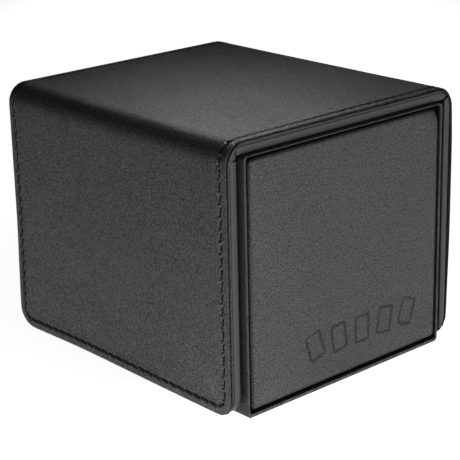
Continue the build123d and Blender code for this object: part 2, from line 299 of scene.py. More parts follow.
# ------------------------------------------------------------------ the cover's own map
def cover_point(half, u, y, depth):
    """The point u up from the cover's foot and depth under its outer face. half is -1 at the flap.

    The spine's foot curves in under the tray's lower edge; the flap's front foot hangs lower.
    """
    if half > 0 and u < FOOT_ARC:
        turn = -FOOT_TURN * (1 - u / FOOT_ARC) ** 0.7
        out_x, out_z = math.cos(turn), math.sin(turn)
        x, z = COVER_OUT - FOOT_R + FOOT_R * out_x, FOOT_R + FOOT_R * out_z
    elif u < LEG:
        sag = FOOT_SAG * ramp(-y, -30, COVER_HALF) * (1 - ramp(u, 0, 40)) if half < 0 else 0.0
        x, z, out_x, out_z = COVER_OUT, COVER_FOOT + u - sag, 1.0, 0.0
    elif u < LEG + BEND:
        turn = (u - LEG) / FOLD_R
        out_x, out_z = math.cos(turn), math.sin(turn)
        x, z = FOLD_X + FOLD_R * out_x, FOLD_Z + FOLD_R * out_z
    else:
        x, z, out_x, out_z = FOLD_X - (u - LEG - BEND), COVER_TOP, 0.0, 1.0
    return half * (x - depth * out_x), y, z - depth * out_z


def cover_flat(half, u, y):
    return -half * (u - HALF_PATH), y, 0.0


def edge_at(half, t):
    """The cover half's free edge at t along the stitch line: (u, y) and the way inward."""
    r, straight, arc, length = CORNER_R[half], EDGE_SIDE[half], EDGE_TURN[half], EDGE_LENGTH[half]
    near = min(t, length - t)
    side = -1 if t < length / 2 else 1
    if near < straight:
        u, y, in_u, in_y = HALF_PATH - near, COVER_HALF, 0.0, -1.0
    elif near < straight + arc:
        turn = (near - straight) / (r - STITCH_INSET)
        in_u, in_y = math.sin(turn), -math.cos(turn)
        u, y = r - r * in_u, COVER_HALF - r - r * in_y
    else:
        u, y, in_u, in_y = 0.0, COVER_HALF - r - (near - straight - arc), 1.0, 0.0
    return u, side * y, in_u, side * in_y


def crease(u, y, start, end, width):
    """1 on the line from start to end, fading beside it and towards its ends."""
    du, dy = end[0] - start[0], end[1] - start[1]
    length = math.hypot(du, dy)
    along = ((u - start[0]) * du + (y - start[1]) * dy) / length
    across = ((u - start[0]) * dy - (y - start[1]) * du) / length
    return math.exp(-((across / width) ** 2)) * ramp(along, -0.5, 1.0) * ramp(length - along, -0.5, 1.5)


def cover_swell(half, u, y):
    """How far both layers stand off the boards: the spine bows out, the flap's rear foot flares."""
    if half > 0:
        return SPINE_SWELL * ramp(u, 0, 38) * (1 - ramp(u, LEG - 14, LEG + BEND))
    return FOOT_FLARE * ramp(y, 15, COVER_HALF) * (1 - ramp(u, 3, 40))


def cover_relief(half, u, y):
    """Extra depth of the outer leatherette away from its edge."""
    depth = -LID_CROWN * ramp(u, LEG + BEND, HALF_PATH) * (1 - (y / COVER_HALF) ** 2)
    depth += 0.06 * wave(u / 17.0, y / 17.0, 3.0 + half)
    depth -= FOLD_PUFF * hump(u, LEG - 3.0, 5.0) * (1.0 if half > 0 else 0.35)
    if half < 0:
        depth -= 0.42 * hump(y, COVER_HALF - 4.6, 0.75) * hump(u, LEG + 3.0, 6.0)
        for start, end, width, deep in FOLD_CREASES:
            depth += deep * crease(u, y, start, end, width)
    return depth


def stitch_relief(t, inset):
    """Extra depth of the leatherette where the thread pulls it down."""
    along = (t / STITCH_STEP % 1.0 - 0.5) * STITCH_STEP
    off = inset - STITCH_INSET - STITCH_SLANT * along
    trench = 0.36 * hump(off, 0, 0.44) * (1 - 0.85 * ramp(abs(along), 1.15, 1.6))
    front = 0.3 * hump(off, 0, 0.4) * hump(along, STITCH_LENGTH / 2, 0.36)
    back = 0.14 * hump(off, 0, 0.3) * hump(along, -STITCH_LENGTH / 2, 0.3)
    swell = 0.09 * hump(abs(off), 0.85, 0.35)
    return trench + front + back - swell


def cover_half(half, profile, step, stitched):
    """Half of one layer of the cover, from the lid's middle to its foot.

    profile is a list of (inset, depth) from the under face, round the edge, to the outer face.
    """
    shape = Shape()
    length = EDGE_LENGTH[half]
    count = round(length / step)
    marks = [length * i / count for i in range(count + 1)]
    walk = [edge_at(half, t) for t in marks]
    outer = profile[-1][1]
    # Rows deeper than this get painted shade, black and matt, in place of the shadow in the seam between the
    # layers and the lining.
    shade_depth = SKIN - 0.1 if stitched else SKIN + 0.35

    def put(places, raw=0.0):
        swollen = [(u, y, depth - cover_swell(half, u, y)) for u, y, depth in places]
        flats = [cover_flat(half, u, y) for u, y, _ in places]
        return shape.add([cover_point(half, *p) for p in swollen], flats, raw=raw)

    rows = []
    for number, (inset, depth) in enumerate(profile):
        places = []
        for t, (u, y, in_u, in_y) in zip(marks, walk):
            pu, py = u + in_u * inset, y + in_y * inset
            deep = depth
            if stitched and number > len(profile) - STITCH_ROWS - 1:
                deep += stitch_relief(t, inset) + cover_relief(half, pu, py) * ramp(inset, 0, 1.5)
            places.append((pu, py, deep))
        rows.append(put(places, raw=1.0 if depth > shade_depth else 0.0))
    for first, second in zip(rows, rows[1:]):
        shape.bridge(first, second, closed=False)

    inner = COVER_HALF - GRID_INSET
    us = np.linspace(GRID_INSET, HALF_PATH, 82 if stitched else 40)
    ys = np.linspace(-inner, inner, 61 if stitched else 7)
    splits = []
    for row, depth in ((rows[0], profile[0][1]), (rows[-1], outer)):
        bumpy = stitched and depth == outer
        grid = [put([(u, y, depth + (cover_relief(half, u, y) if bumpy else 0)) for y in ys]) for u in us]
        for first, second in zip(grid, grid[1:]):
            shape.bridge(first, second, closed=False)
        sides = [line[0] for line in grid[:0:-1]], [line[-1] for line in grid[1:]]
        coarse = sides[0] + grid[0] + sides[1]
        turn = EDGE_SIDE[half] + EDGE_TURN[half] / 2
        side_marks = [HALF_PATH - u for u in us[:0:-1]]
        foot_marks = [turn] + [length / 2 + y for y in ys[1:-1]] + [length - turn]
        coarse_marks = side_marks + foot_marks + [length - t for t in reversed(side_marks)]
        shape.zip(row, marks, coarse, coarse_marks)
        splits.append(grid[-1])
    ends = [row[-1] for row in reversed(rows)] + splits[0][::-1] + [row[0] for row in rows]
    shape.cap(splits[1] + ends)
    return shape


def skin_profile():
    """Outer leatherette: rounded edges, and rows close together under the stitches."""
    under = [(5.2, SKIN), (SKIN_STEP + 1.6, SKIN), (1.5, SKIN - 0.13), (0.3, SKIN - 0.15), (0.1, SKIN - 0.2)]
    edge = [(0.0, SKIN - 0.28), (0.04, 0.14), (0.13, 0.06), (0.26, 0.015), (0.42, 0.0)]
    stepped = [(SKIN_STEP + inset, depth) for inset, depth in under[2:] + edge]
    return under[:2] + stepped + [(inset, 0.0) for inset in STITCH_INSETS]


def backing_profile():
    """Second layer, a little short of the first, with both its corners rounded."""
    deep = COVER - 0.01
    under = [(5.2, deep), (1.2, deep), (1.1, deep - 0.06), (0.25, deep - 0.08), (0.12, deep - 0.15)]
    return under + [(0.1, SKIN + 0.2), (0.16, SKIN + 0.08), (0.3, SKIN + 0.02), (0.6, SKIN), (5.2, SKIN)]


def stitches(half):
    """The thread of one cover half: one closed strand for each stitch."""
    shape = Shape()
    for k in range(round(EDGE_LENGTH[half] / STITCH_STEP)):
        middle = (k + 0.5) * STITCH_STEP
        shake = wave(k * 1.7, half * 5.0)
        rings = []
        for i in range(9):
            part = i / 8 * 2 - 1
            along = part * STITCH_LENGTH / 2
            u, y, in_u, in_y = edge_at(half, middle + along)
            sink = 0.24 + 0.3 * ramp(abs(part), 0.55, 1.0)
            width = THREAD_R * (1.15 - 0.3 * part**4)
            ring, flats = [], []
            for j in range(8):
                turn = math.tau * j / 8
                inset = STITCH_INSET + (STITCH_SLANT + 0.03 * shake) * along + width * math.cos(turn)
                place = (u + in_u * inset, y + in_y * inset, sink - 0.75 * width * math.sin(turn))
                place = (*place[:2], place[2] + cover_relief(half, *place[:2]) - cover_swell(half, *place[:2]))
                ring.append(cover_point(half, *place))
                flats.append((middle + along, inset * 3, turn))
            rings.append(shape.add(ring, flats))
        for first, second in zip(rings, rings[1:]):
            shape.bridge(first, second)
        shape.cap(rings[0])
        shape.cap(rings[-1])
    return shape


def bend(piece):
    """Bakes the piece's placement into its mesh."""
    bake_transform(piece)


def build_cover(leather, thread):
    for half, name, bodies in ((-1, "flap_side", ("lid", "flap")), (1, "spine_side", ("lid", "tray"))):
        layers = (
            ("cover_skin", cover_half(half, skin_profile(), STITCH_STEP / 10, True), leather, "leatherette"),
            ("cover_backing", cover_half(half, backing_profile(), 1.6, False), leather, "leatherette_backing"),
            ("cover_stitching", stitches(half), thread, "thread"),
        )
        for layer, shape, material, slot in layers:
            piece = add_piece(shape, f"{name}_{layer}", material)
            bend(piece)
            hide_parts(*COVER_STANDS_FOR[name, layer])


# ------------------------------------------------------------------------ rounded boards
def loft(outlines, place, raws=None):
    """A closed body through equally long rings of (a, b, height), with flat ends."""
    shape = Shape()
    rings = []
    for ring, raw in zip(outlines, raws or [0.0] * len(outlines)):
        rings.append(shape.add([place(*p) for p in ring], raw=raw))
    for first, second in zip(rings, rings[1:]):
        shape.bridge(first, second)
    shape.cap(rings[0])
    shape.cap(rings[-1])
    return shape


def ring_at(low, high, radii, inset, height, counts=(24, 24), arc_steps=6):
    """A rounded rectangle drawn in by inset, at a height."""
    inner = [max(0.05, r - inset) for r in radii]
    corners = (low[0] + inset, low[1] + inset), (high[0] - inset, high[1] - inset)
    return [(a, b, height) for a, b in outline(*corners, inner, counts, arc_steps)]


def lining_shape(low, high, radii, place, thick, wall):
    """The lining round a board: its rounded inner face, its turned edges and the board's hollow."""
    turned = [(1.3, thick), (1.2, thick - 0.3), (0.5, thick - 0.32), (0.2, thick - 0.38), (0.05, thick - 0.52)]
    edge = [(0.0, thick - 0.72), (0.0, 0.5), (0.05, 0.22), (0.16, 0.07), (0.35, 0.0), (3.0, 0.0)]
    hollow = [(3.0, wall), (1.3 + wall, wall), (1.3 + wall, thick)]
    steps = hollow + turned + edge
    # Painted shade: the recessed part of the turned edge is coloured black and matt, in place of the shadow in the
    # gap beside it.
    raws = [1.0 if i < 1.3 and h > thick - 0.35 else 0.0 for i, h in steps]
    return loft([ring_at(low, high, radii, i, h, (40, 40), 8) for i, h in steps], place, raws)


def roof(x):
    """Height of the backing's under face over x, where it bends down at the folds."""
    over = max(0.0, abs(x) - FOLD_X)
    return FOLD_Z + math.sqrt(max(0.0, (FOLD_R - COVER) ** 2 - over**2))


def build_linings(lining):
    half, gap = LINING_HALF, MITRE_GAP / 2
    thick = COVER_OUT - COVER + LINING_FACE

    def flap_place(a, b, h):
        return LINING_FACE - h, a, b

    def lid_place(a, b, h):
        x = b + (MITRE_REACH * h / thick) * ramp(b, LID_LINING_END - 4, LID_LINING_END)
        return x, a, LID_UNDER + h * (roof(x) - LID_UNDER) / thick

    def spine_place(a, b, h):
        reach = MITRE_REACH * h / thick * ramp(b, LID_UNDER - 4, LID_UNDER - gap)
        z = b + reach
        over, under = max(0.0, z - FOLD_Z), max(0.0, FOOT_R - z)
        wall = FOLD_X + math.sqrt(max(0.0, (FOLD_R - COVER) ** 2 - over**2))
        wall -= FOOT_R - COVER - math.sqrt(max(0.0, (FOOT_R - COVER) ** 2 - under**2))
        return -LINING_FACE + h * (wall + LINING_FACE) / thick, a, z

    pieces = (
        ("flap_inner_lining", "flap", ("flap_lining",), flap_place, LINING_FOOT, FLAP_HEAD, (5.5, 5.5, 0.6, 0.6)),
        ("lid_inner_lining", "lid", ("lid_lining",), lid_place, LINING_FACE, LID_LINING_END, (0.5, 0.5, 0.3, 0.3)),
        ("spine_inner_lining", "tray", ("spine_lining", "spine_board"), spine_place,
         SPINE_LINING_FOOT, LID_UNDER - gap, (1.2, 1.2, 0.3, 0.3)),
    )
    for name, body, nodes, place, low, high, radii in pieces:
        shape = lining_shape((-half, low), (half, high), radii, place, thick, LINING_WALL)
        piece = add_piece(shape, name, lining, 35)
        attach(piece, body)
        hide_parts(*nodes)


def build_fold_lining(lining):
    """The lining's crease in the corner between flap and lid."""

    def arc(y, radius_at, turns):
        return [(-FOLD_X - radius_at(t) * math.cos(t), y, FOLD_Z + radius_at(t) * math.sin(t)) for t in turns]

    shape = Shape()
    rings = []
    turns = [math.radians(-8 + 74 * i / 12) for i in range(13)]
    radius = FOLD_R - COVER
    for y in np.linspace(-LINING_HALF + 0.1, LINING_HALF - 0.1, 60):
        swell = CREASE_PUFF + 0.12 * wave(y / 6.0, 1.0) + 0.25 * hump(abs(y), LINING_HALF, 1.2)
        outer = arc(y, lambda t: radius - 0.02, turns)
        inner = arc(y, lambda t: radius - 0.32 - swell * hump(t, 0.55, 0.24), turns[::-1])
        rings.append(shape.add(outer + inner))
    for first, second in zip(rings, rings[1:]):
        shape.bridge(first, second)
    shape.cap(rings[0])
    shape.cap(rings[-1])
    piece = add_piece(shape, "flap_fold_crease", lining, 50)
    bend(piece)


# --------------------------------------------------------------------------------- tray
def tray_ring(rect, radius, y, tx, tz):
    """Points round the tray's section at y. rect is (x0, x1, z0, z1); tx and tz are shares of its sides."""
    x0, x1, z0, z1 = rect
    ring = []
    corners = ((x0 + radius, z0 + radius, 180), (x1 - radius, z0 + radius, 270),
               (x1 - radius, z1 - radius, 0), (x0 + radius, z1 - radius, 90))
    for number, (cx, cz, angle) in enumerate(corners):
        for step in range(5):
            turn = math.radians(angle + 90 * step / 5)
            ring.append((cx + radius * math.cos(turn), y, cz + radius * math.sin(turn)))
        turn = math.radians(angle + 90)
        start = np.array((cx + radius * math.cos(turn), cz + radius * math.sin(turn)))
        nx, nz, _ = corners[(number + 1) % 4]
        end = np.array((nx + radius * math.cos(turn), nz + radius * math.sin(turn)))
        shares = tx if number % 2 == 0 else tz
        shares = shares if number < 2 else [1 - s for s in reversed(shares)]
        for share in shares[:-1]:
            x, z = start + share * (end - start)
            ring.append((x, y, z))
    return ring


def build_tray(leather, microfibre):
    x0, x1 = TRAY_X
    outer = (x0, x1, 0.0, TRAY_TOP)
    lip = (x0 + RIM, x1 - RIM, BASE_RIM, TRAY_TOP - TOP_RIM)
    hole_x = (WELL_X[0] - 0.45, WELL_X[1] + 0.45)
    hole_y = WELL_END + 0.45
    side = x1 - x0 - 2 * TRAY_CORNER
    shares = [(x - x0 - TRAY_CORNER) / side for x in hole_x]
    tx = sorted(set([i / 30 for i in range(31)] + shares))
    tz = [i / 24 for i in range(25)]
    flange = (lip[0] + 2.5, lip[1] - 2.5, lip[2] + 2.5, lip[3] - 2.5)
    sections = [(flange, 0.3, END_FACE + 0.02), (lip, 0.9, END_FACE + 0.02), (lip, 0.9, TRAY_END - 0.5),
                (lip, 0.9, TRAY_END - 0.25)]
    for turn in (15, 35, 55, 75):
        mix = (1 - math.cos(math.radians(turn * 2))) / 2
        rect = tuple(p + (q - p) * mix for p, q in zip(lip, outer))
        rise = 0.25 * math.sqrt(math.sin(math.radians(turn * 2)))
        sections.append((rect, 0.9 + mix * (TRAY_CORNER - 0.9), TRAY_END - 0.25 + rise))
    sections += [(outer, TRAY_CORNER, TRAY_END - 0.3), (outer, TRAY_CORNER, TRAY_END - 1.4)]
    ends = [(rect, r, -y) for rect, r, y in sections]
    middle = [(outer, TRAY_CORNER, y) for y in np.linspace(-hole_y, hole_y, 40)]
    rows = ends + middle + [(rect, r, -y) for rect, r, y in reversed(ends)]

    shape = Shape()
    rings, top_side = [], []
    for rect, radius, y in rows:
        points = tray_ring(rect, radius, y, tx, tz)
        walked = np.cumsum([0] + [math.dist(p, q) for p, q in zip(points, points[1:])])
        # Painted shade: the flange and the inner lip by the end panel are coloured black and matt, fading towards
        # the rim, in place of the shadow in the groove round the panel.
        raw = 1 - ramp(abs(y), END_FACE + 0.3, TRAY_END - 0.4) if rect in (flange, lip) else 0.0
        rings.append(shape.add(points, [(w, y, 7.0) for w in walked], raw=raw))
    points = tray_ring(outer, TRAY_CORNER, 0.0, tx, tz)
    for index, (x, _, z) in enumerate(points):
        if z > TRAY_TOP - 0.001 and hole_x[0] - 0.001 < x < hole_x[1] + 0.001:
            top_side.append(index)
    first, last = min(top_side), max(top_side)
    opening = range(len(ends), len(ends) + len(middle) - 1)
    for number, (near, far) in enumerate(zip(rings, rings[1:])):
        for i in range(len(near)):
            if number in opening and first <= i < last:
                continue
            j = (i + 1) % len(near)
            shape.faces.append((near[i], near[j], far[j], far[i]))
    start, stop = rings[len(ends)], rings[len(ends) + len(middle) - 1]
    loop = start[first:last + 1] + [r[last] for r in rings[len(ends) + 1:len(ends) + len(middle) - 1]]
    loop += stop[first:last + 1][::-1] + [r[first] for r in rings[len(ends) + len(middle) - 2:len(ends):-1]]
    for draw_in, drop in ((0.12, 0.04), (0.25, 0.16), (0.3, 0.4), (0.3, 1.3)):
        ring, flats = [], []
        for index in loop:
            x, y, z = shape.points[index]
            x = min(max(x, hole_x[0] + draw_in), hole_x[1] - draw_in)
            y = min(max(y, -hole_y + draw_in), hole_y - draw_in)
            ring.append((x, y, TRAY_TOP - drop))
            flats.append((x + y, z * 3 + drop, 9.0))
        turned = shape.add(ring, flats)
        shape.bridge(loop if draw_in == 0.12 else edge, turned)
        edge = turned
    tray = add_piece(shape, "tray_wrap", leather, 50)
    thicken(tray, 0.15)
    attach(tray, "tray")
    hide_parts("tray_wall_skin", "tray_base_skin")

    low, high = (WELL_X[0] - LINER, -WELL_END - LINER), (WELL_X[1] + LINER, WELL_END + LINER)
    radii = (1.5,) * 4
    floor = WELL_FLOOR
    steps = [(0.0, floor - LINER), (0.0, TRAY_TOP - 0.9), (0.1, TRAY_TOP - 0.65), (0.25, TRAY_TOP - 0.56),
             (0.4, TRAY_TOP - 0.65), (LINER, TRAY_TOP - 0.9), (LINER, floor + 1.2), (LINER + 0.2, floor + 0.55),
             (LINER + 0.6, floor + 0.15), (LINER + 1.3, floor), (LINER + 3.0, floor)]
    rings = [ring_at(low, high, radii, inset, z, (40, 40), 6) for inset, z in steps]
    tub = add_piece(loft(rings, lambda a, b, h: (a, b, h)), "tray_microfibre_tub", microfibre, 60)
    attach(tub, "tray")
    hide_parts(*TUB_STANDS_FOR)


def thicken(piece, thickness):
    """Gives an open sheet its thickness, inwards."""
    solid = piece.modifiers.new("thickness", "SOLIDIFY")
    solid.thickness = thickness * MM
    solid.offset = -1
    bpy.context.view_layer.objects.active = piece
    bpy.ops.object.modifier_apply(modifier=solid.name)


# --------------------------------------------------------------------------- end panels
def card_lines(x, z):
    """1 on the embossed outlines of the five cards, 0 off them."""
    best = 0.0
    for k in range(-2, 3):
        cx = CARD_MIDDLE + k * CARD_PITCH
        turn = math.radians(-CARD_TILT * k)
        dx, dz = x - cx, z - CARD_HEIGHT
        a = dx * math.cos(turn) + dz * math.sin(turn)
        b = -dx * math.sin(turn) + dz * math.cos(turn)
        r = 1.0
        qa, qb = abs(a) - (CARD_SIZE[0] / 2 - r), abs(b) - (CARD_SIZE[1] / 2 - r)
        away = math.hypot(max(qa, 0), max(qb, 0)) + min(max(qa, qb), 0) - r
        best = max(best, 1 - ramp(abs(away + CARD_LINE / 2), CARD_LINE / 2 - 0.12, CARD_LINE / 2 + 0.14))
    return best


def panel_shape(end, embossed):
    """A padded end panel. end is -1 at the front."""
    (x0, x1), (z0, z1) = PANEL_X, PANEL_Z
    x1 += PANEL_REACH
    r = PANEL_CORNER
    edge = (0.0, 0.12, 0.28, 0.48, 0.75, 1.1, r, 2.1, 3.0)

    def lines(low, high, fine):
        near = [low + e for e in edge] + [high - e for e in edge]
        wide = list(np.linspace(low + 4.2, high - 4.2, 22))
        if fine:
            wide = [w for w in wide if not fine[0] < w < fine[1]] + list(np.arange(fine[0], fine[1], 0.27))
        return sorted(set(near + wide))

    reach = 2 * CARD_PITCH + 6.0
    fine_x = (CARD_MIDDLE - reach, CARD_MIDDLE + reach) if embossed else None
    fine_z = (CARD_HEIGHT - 6.2, CARD_HEIGHT + 6.2) if embossed else None
    xs, zs = lines(x0, x1, fine_x), lines(z0, z1, fine_z)
    shape = Shape()
    grid = []
    for z in zs:
        points, flats, presses, raws = [], [], [], []
        for x in xs:
            px, pz, inset = x, z, min(x - x0, x1 - x, z - z0, z1 - z)
            cx, cz = min(max(x, x0 + r), x1 - r), min(max(z, z0 + r), z1 - r)
            if cx != x and cz != z:
                a, b = (x - cx) / r, (z - cz) / r
                a, b = a * math.sqrt(1 - b * b / 2), b * math.sqrt(1 - a * a / 2)
                px, pz, inset = cx + a * r, cz + b * r, r - r * math.hypot(a, b)
            drop = 0.85 * edge_drop(inset, PANEL_ROUND) + 0.3 * (1 - min(1, inset / 4.5)) ** 2
            pull = 0.0
            for corner, deep in PANEL_PULLS:
                away = math.hypot(px - PANEL_X[corner], pz - z1)
                pull = max(pull, deep * (1 - ramp(away, 0.5, 4.5)))
            drop += pull * 0.8
            px += (0.5 * (x0 + x1) - px) / (x1 - x0) * pull * 1.1
            pz += (0.5 * (z0 + z1) - pz) / (z1 - z0) * pull * 1.1
            drop += 0.05 * wave(px / 16.0, pz / 16.0, 11.0 * end)
            pressed = card_lines(px, pz) if embossed else 0.0
            y = TRAY_END - drop - CARD_DEPTH * pressed
            points.append((px if end < 0 else x0 + x1 - px, end * y, pz))
            flats.append((px + 300.0 * end, pz, 5.0))
            presses.append(pressed)
            # Painted shade: darker towards the panel's edge, where the groove's shadow falls, and in the embossed
            # card lines.
            raws.append(max(0.9 * (1 - min(1, inset / PANEL_SHADE)) ** 2, CARD_SHADE * pressed))
        grid.append(shape.add(points, flats, presses, raws))
    for first, second in zip(grid, grid[1:]):
        shape.bridge(first, second, closed=False)
    rim = grid[0] + [line[-1] for line in grid[1:]] + grid[-1][-2::-1] + [line[0] for line in grid[-2:0:-1]]
    # The panel's flanks also get painted shade, black and matt, down in the groove.
    for y, raw in ((END_FACE + 0.6, 0.7), (END_FACE, 1.0)):
        ring = [(shape.points[i][0], end * y, shape.points[i][2]) for i in rim]
        flats = [(shape.flat[i][0], shape.flat[i][1], 5.0 + y) for i in rim]
        below = shape.add(ring, flats, raw=raw)
        shape.bridge(rim if y > END_FACE + 0.1 else wall, below)
        wall = below
    shape.cap(wall)
    return shape


def build_panels(leather):
    for end, name in ((-1, "front"), (1, "rear")):
        panel = add_piece(panel_shape(end, end < 0), f"{name}_panel_cushion", leather, 50)
        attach(panel, "tray")
        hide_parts(f"{name}_panel_skin", f"{name}_panel_board")


# ---------------------------------------------------------------------------- materials
class Nodes:
    """A material's node tree, written one node at a time."""

    def __init__(self, name):
        self.material = bpy.data.materials.new(name)
        self.material.use_nodes = True
        self.tree = self.material.node_tree
        self.shader = self.tree.nodes["Principled BSDF"]

    def add(self, kind, links=(), **values):
        """Makes a node. values whose names are sockets set them, and links join (socket, output)."""
        node = self.tree.nodes.new("ShaderNode" + kind)
        for key, value in values.items():
            if hasattr(node, key):
                setattr(node, key, value)
            else:
                node.inputs[key].default_value = value
        for socket, output in links:
            self.tree.links.new(output, node.inputs[socket])
        return node

    def to(self, socket, output):
        self.tree.links.new(output, self.shader.inputs[socket])

    def set(self, **values):
        for key, value in values.items():
            self.shader.inputs[key.replace("_", " ")].default_value = value

    def map(self, value, low, high, to_low, to_high):
        """Remaps a value, smoothly clamped."""
        node = self.add("MapRange", [("Value", value)])
        for key, number in (("From Min", low), ("From Max", high), ("To Min", to_low), ("To Max", to_high)):
            node.inputs[key].default_value = number
        return node.outputs["Result"]

    def math(self, operation, first, second):
        node = self.add("Math", operation=operation)
        for socket, value in enumerate((first, second)):
            if isinstance(value, (int, float)):
                node.inputs[socket].default_value = value
            else:
                self.tree.links.new(value, node.inputs[socket])
        return node.outputs[0]

    def noise(self, place, scale, detail):
        node = self.add("TexNoise", [("Vector", place)])
        node.inputs["Scale"].default_value = scale
        node.inputs["Detail"].default_value = detail
        return node

    def mix(self, share, colour, other):
        """colour, turning to the plain other colour by share."""
        node = self.add("Mix", data_type="RGBA")
        self.tree.links.new(share, node.inputs["Factor"])
        self.tree.links.new(colour, node.inputs[6])
        node.inputs[7].default_value = (*other, 1.0)
        return node.outputs[2]

    def ramp(self, value, stops):
        """Colours over a value: stops is a list of (place, colour)."""
        node = self.add("ValToRGB", [("Fac", value)])
        while len(node.color_ramp.elements) < len(stops):
            node.color_ramp.elements.new(0.5)
        for element, (place, colour) in zip(node.color_ramp.elements, stops):
            element.position = place
            element.color = (*colour, 1.0)
        return node.outputs["Color"]

    def bump(self, height, distance, strength, below=None):
        node = self.add("Bump", [("Height", height)])
        node.inputs["Distance"].default_value = distance * MM
        node.inputs["Strength"].default_value = strength
        if below is not None:
            self.tree.links.new(below, node.inputs["Normal"])
        return node.outputs["Normal"]


def grey(level):
    return level, level, level


def leather_material(name, tone, gloss, grain, strength):
    """Black leatherette: pebbled grain in clusters, finer pores in it and soft patches of wear; its colour carries
    painted shade in the grain's hollows and in gaps.
    """
    n = Nodes(name)
    place = n.add("Attribute", attribute_name="flat").outputs["Vector"]
    press = n.add("Attribute", attribute_name="press").outputs["Fac"]
    raw = n.add("Attribute", attribute_name="raw").outputs["Fac"]
    bent = n.noise(place, 0.8, 2)
    mixed = n.add("VectorMath", [(0, bent.outputs["Color"])], operation="SCALE")
    mixed.inputs["Scale"].default_value = 0.6
    warped = n.add("VectorMath", [(0, place), (1, mixed.outputs[0])], operation="ADD").outputs[0]
    pebble = n.add("TexVoronoi", [("Vector", warped)], feature="SMOOTH_F1")
    pebble.inputs["Scale"].default_value = 1 / grain
    pebble.inputs["Smoothness"].default_value = 0.35
    clusters = n.noise(warped, 0.75 / grain, 3).outputs["Fac"]
    pores = n.noise(place, 2.1 / grain, 3).outputs["Fac"]
    patches = n.noise(place, 0.06, 2).outputs["Fac"]
    domes = n.map(pebble.outputs["Distance"], 0.0, 0.75, 0.5, 0.0)
    fine = n.math("ADD", domes, n.math("MULTIPLY", pores, 0.3))
    height = n.math("ADD", n.math("MULTIPLY", clusters, 1.6), fine)
    level = n.math("MULTIPLY", height, n.map(press, 0.0, 1.0, 1.0, 0.3))
    n.to("Normal", n.bump(level, 0.12, strength))
    # Colour by grain height: partly the leatherette's own tone, and partly painted shade in the grain's hollows
    # and painted highlight on its tops.
    grain_tone_and_painted_shade = n.ramp(height, [(0.55, grey(tone * 0.4)), (0.8, grey(tone)), (1.0, grey(tone * 2.2))])
    # Painted shade: where the shade attribute is set, the colour turns near black and the shine drops, in place of
    # the shadows in gaps and grooves.
    n.to("Base Color", n.mix(raw, grain_tone_and_painted_shade, grey(0.002)))
    shine = n.math("ADD", n.map(height, 0.9, 1.6, gloss + 0.1, gloss - 0.1),
                   n.map(patches, 0.3, 0.7, -0.03, 0.03))
    n.to("Roughness", n.math("SUBTRACT", n.math("ADD", shine, n.math("MULTIPLY", raw, 0.4)),
                             n.math("MULTIPLY", press, 0.06)))
    glint = n.map(height, 0.92, 1.53, 0.2, 0.8)
    n.to("Specular IOR Level", n.math("MULTIPLY", glint, n.map(raw, 0.0, 1.0, 1.0, 0.1)))
    return n.material


def lining_material(name, tone, rough):
    """Smooth matt lining with a faint mottle."""
    n = Nodes(name)
    place = n.add("Attribute", attribute_name="flat").outputs["Vector"]
    mottle = n.noise(place, 0.9, 4)
    fine = n.noise(place, 6.0, 2)
    raw = n.add("Attribute", attribute_name="raw").outputs["Fac"]
    mottled = n.ramp(mottle.outputs["Fac"], [(0.3, grey(tone * 0.85)), (0.7, grey(tone * 1.15))])
    # Painted shade: where the shade attribute is set, the colour turns near black and the shine drops, in place of
    # the shadow in the gap at the lining's edge.
    n.to("Base Color", n.mix(raw, mottled, grey(0.002)))
    n.to("Specular IOR Level", n.map(raw, 0.0, 1.0, 0.5, 0.05))
    n.to("Roughness", n.map(mottle.outputs["Fac"], 0.3, 0.7, rough - 0.04, rough + 0.05))
    n.to("Normal", n.bump(fine.outputs["Fac"], 0.012, 0.5))
    return n.material


def microfibre_material(name, tone):
    """Short nap: a fine fibrous mottle and a soft sheen."""
    n = Nodes(name)
    place = n.add("Attribute", attribute_name="flat").outputs["Vector"]
    fibre = n.noise(place, 7.0, 6)
    brushed = n.noise(place, 0.12, 2)
    nap = n.math("MULTIPLY", fibre.outputs["Fac"], 0.6)
    both = n.math("ADD", nap, n.math("MULTIPLY", brushed.outputs["Fac"], 0.4))
    n.to("Base Color", n.ramp(both, [(0.35, grey(tone * 0.7)), (0.65, grey(tone * 1.4))]))
    n.to("Normal", n.bump(fibre.outputs["Fac"], 0.15, 0.7))
    n.set(Roughness=0.95, Specular_IOR_Level=0.2, Sheen_Weight=0.35, Sheen_Roughness=0.5)
    return n.material


def board_material(name):
    """Black chipboard: pressed fibres with light and dark flecks."""
    n = Nodes(name)
    place = n.add("TexCoord").outputs["Object"]
    fibre = n.noise(place, 1400.0, 5)
    flecks = n.add("TexVoronoi", [("Vector", place)])
    flecks.inputs["Scale"].default_value = 900.0
    both = n.math("ADD", fibre.outputs["Fac"], n.map(flecks.outputs["Distance"], 0.0, 0.25, -0.25, 0.0))
    n.to("Base Color", n.ramp(both, [(0.2, (0.02, 0.02, 0.019)), (0.7, (0.06, 0.058, 0.054))]))
    n.to("Normal", n.bump(fibre.outputs["Fac"], 0.05, 0.6))
    n.set(Roughness=0.9)
    return n.material


def thread_material(name):
    """Black waxed thread, twisted round its own length."""
    n = Nodes(name)
    place = n.add("Attribute", attribute_name="flat").outputs["Vector"]
    twist = n.add("TexWave", [("Vector", place)], bands_direction="DIAGONAL")
    twist.inputs["Scale"].default_value = 0.9
    twist.inputs["Distortion"].default_value = 0.4
    n.to("Base Color", n.ramp(twist.outputs["Fac"], [(0.0, grey(0.001)), (1.0, grey(0.005))]))
    n.to("Roughness", n.map(twist.outputs["Fac"], 0.0, 1.0, 0.7, 0.55))
    n.set(Specular_IOR_Level=0.12)
    n.to("Normal", n.bump(twist.outputs["Fac"], 0.05, 0.7))
    return n.material


